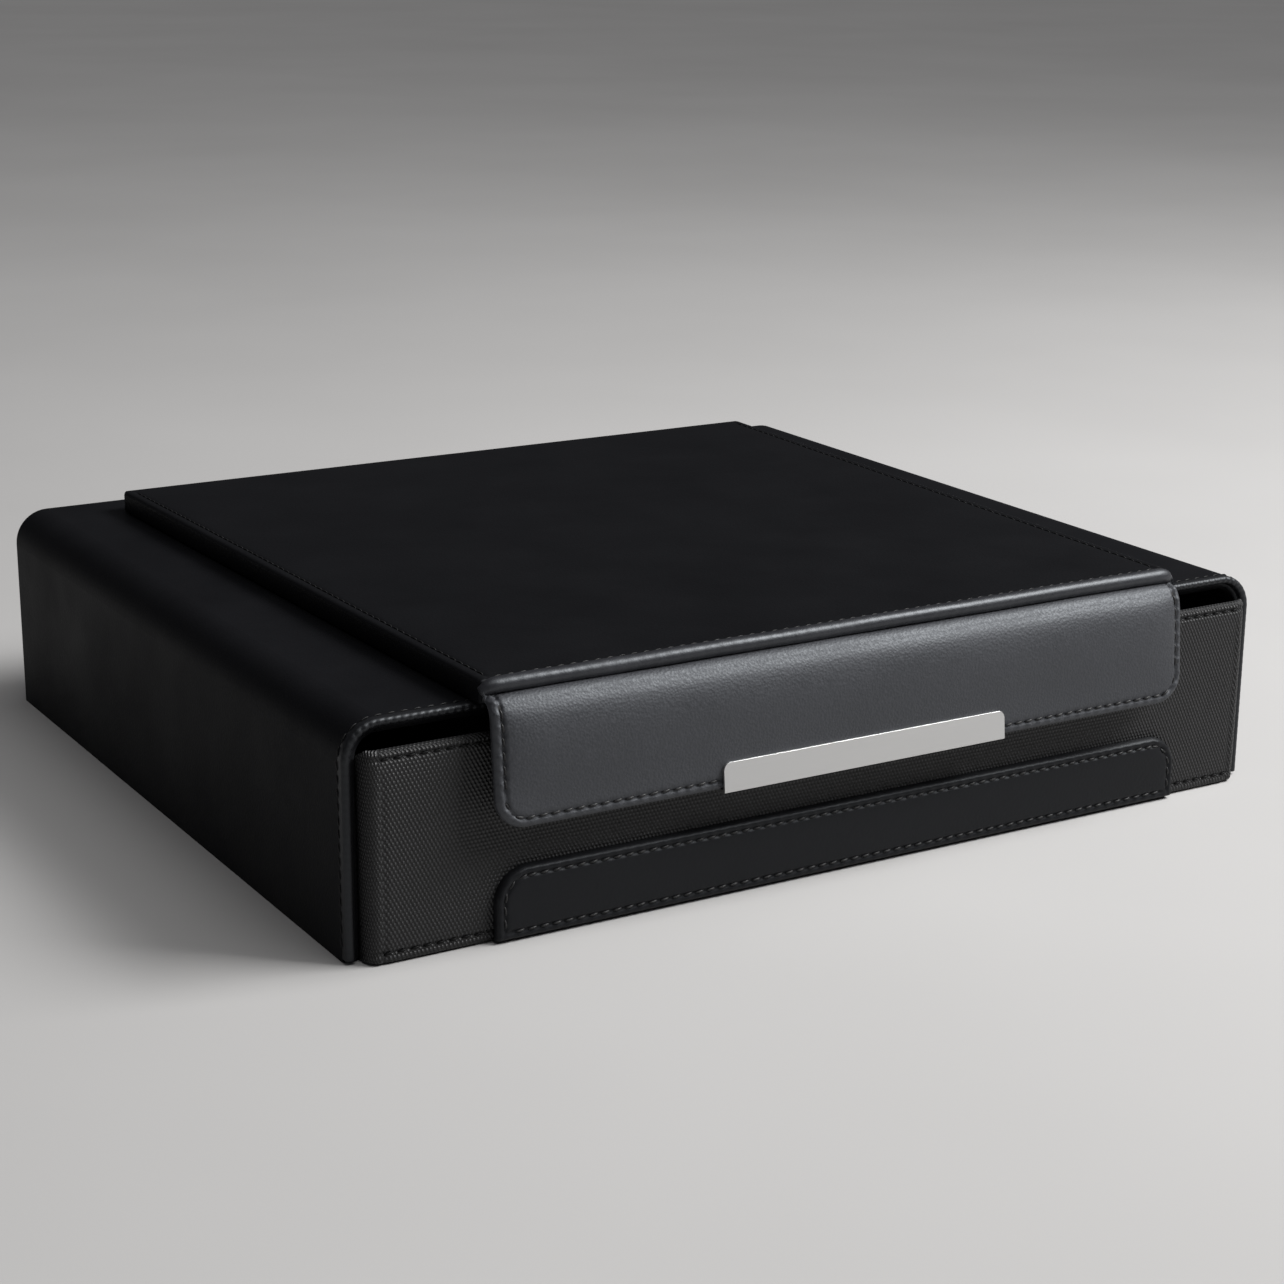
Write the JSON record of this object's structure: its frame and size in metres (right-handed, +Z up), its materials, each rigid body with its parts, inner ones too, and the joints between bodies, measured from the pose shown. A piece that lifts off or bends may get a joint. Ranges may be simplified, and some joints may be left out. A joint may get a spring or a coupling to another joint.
{
  "type": "cufflink box with drawer",
  "caption": "Low leather-covered box with a lidded cufflink tray, a full-front drawer and a hinged flap with a metal bar.",
  "frame": {"origin": "bottom centre of the closed box", "axes": "+X to the right as seen from the drawer side, -Y out through the drawer front, +Z up"},
  "size_m": [0.28, 0.2534, 0.0669],
  "materials": {
    "leather": "fine-grained black leather, semi-matte",
    "leatherette": "smooth black leatherette",
    "nylon_weave": "coarse black basket-weave nylon",
    "felt": "dark grey felt",
    "board": "dark grey pressed board",
    "base_sheet": "plain black leatherette sheet",
    "tape": "black woven tape",
    "bar_metal": "satin nickel",
    "magnet": "plated magnet",
    "plate_steel": "plain steel plate",
    "cushion": "padded charcoal microsuede"
  },
  "bodies": {
    "case": {"base_sheet": "base_sheet", "case_cover": "leatherette", "front_binding": "leatherette", "lid_hinge_tape": "tape", "case_base_board": "board", "case_right_board": "board", "case_left_board": "board", "case_top_board": "board", "case_back_board": "board", "drawer_runner_right": "felt", "drawer_runner_left": "felt", "tray_ledge_right": "board", "tray_ledge_left": "board", "drawer_stop": "board", "tray_floor": "board", "tray_wall_right": "felt", "tray_wall_left": "felt", "tray_wall_front": "felt", "tray_wall_back": "felt", "tray_felt": "felt", "tray_divider_row": "felt", "tray_divider_rolls": "felt", "tray_divider_1": "felt", "tray_divider_2": "felt", "tray_divider_3": "felt", "cufflink_roll_1": "cushion", "cufflink_roll_2": "cushion", "cufflink_roll_3": "cushion", "cufflink_roll_4": "cushion", "cufflink_roll_5": "cushion"},
    "lid": {"lid_cover": "leather", "lid_board": "board", "lid_lining": "felt", "lid_piping": "leather"},
    "flap": {"flap_cover": "leather", "flap_core": "board", "flap_lining": "felt", "flap_magnets": "magnet", "flap_bar": "bar_metal", "bar_rivets": "bar_metal"},
    "drawer": {"drawer_front_board": "board", "drawer_front_cover": "nylon_weave", "drawer_front_patch": "leather", "drawer_strike_plates": "plate_steel", "drawer_bottom": "board", "drawer_side_right": "board", "drawer_side_left": "board", "drawer_back": "board", "drawer_felt": "felt", "drawer_divider_across": "felt", "drawer_divider_1": "felt", "drawer_divider_2": "felt"}
  },
  "joints": [
    {"name": "lid_hinge", "type": "hinge", "parent": "case", "child": "lid", "pos_m": [0, 0.10853, 0.0635], "axis": [-1, 0, 0], "range_deg": [0, 105]},
    {"name": "flap_hinge", "type": "hinge", "parent": "lid", "child": "flap", "pos_m": [0, -0.11959, 0.06236], "axis": [-1, 0, 0], "range_deg": [0, 95]},
    {"name": "drawer_slide", "type": "slide", "parent": "case", "child": "drawer", "axis": [0, -1, 0], "range_m": [0, 0.115]}
  ],
  "couplings": [
    {"joint": "drawer_slide", "follows": "lid_hinge", "m_per_rad": 0.06273}
  ]
}
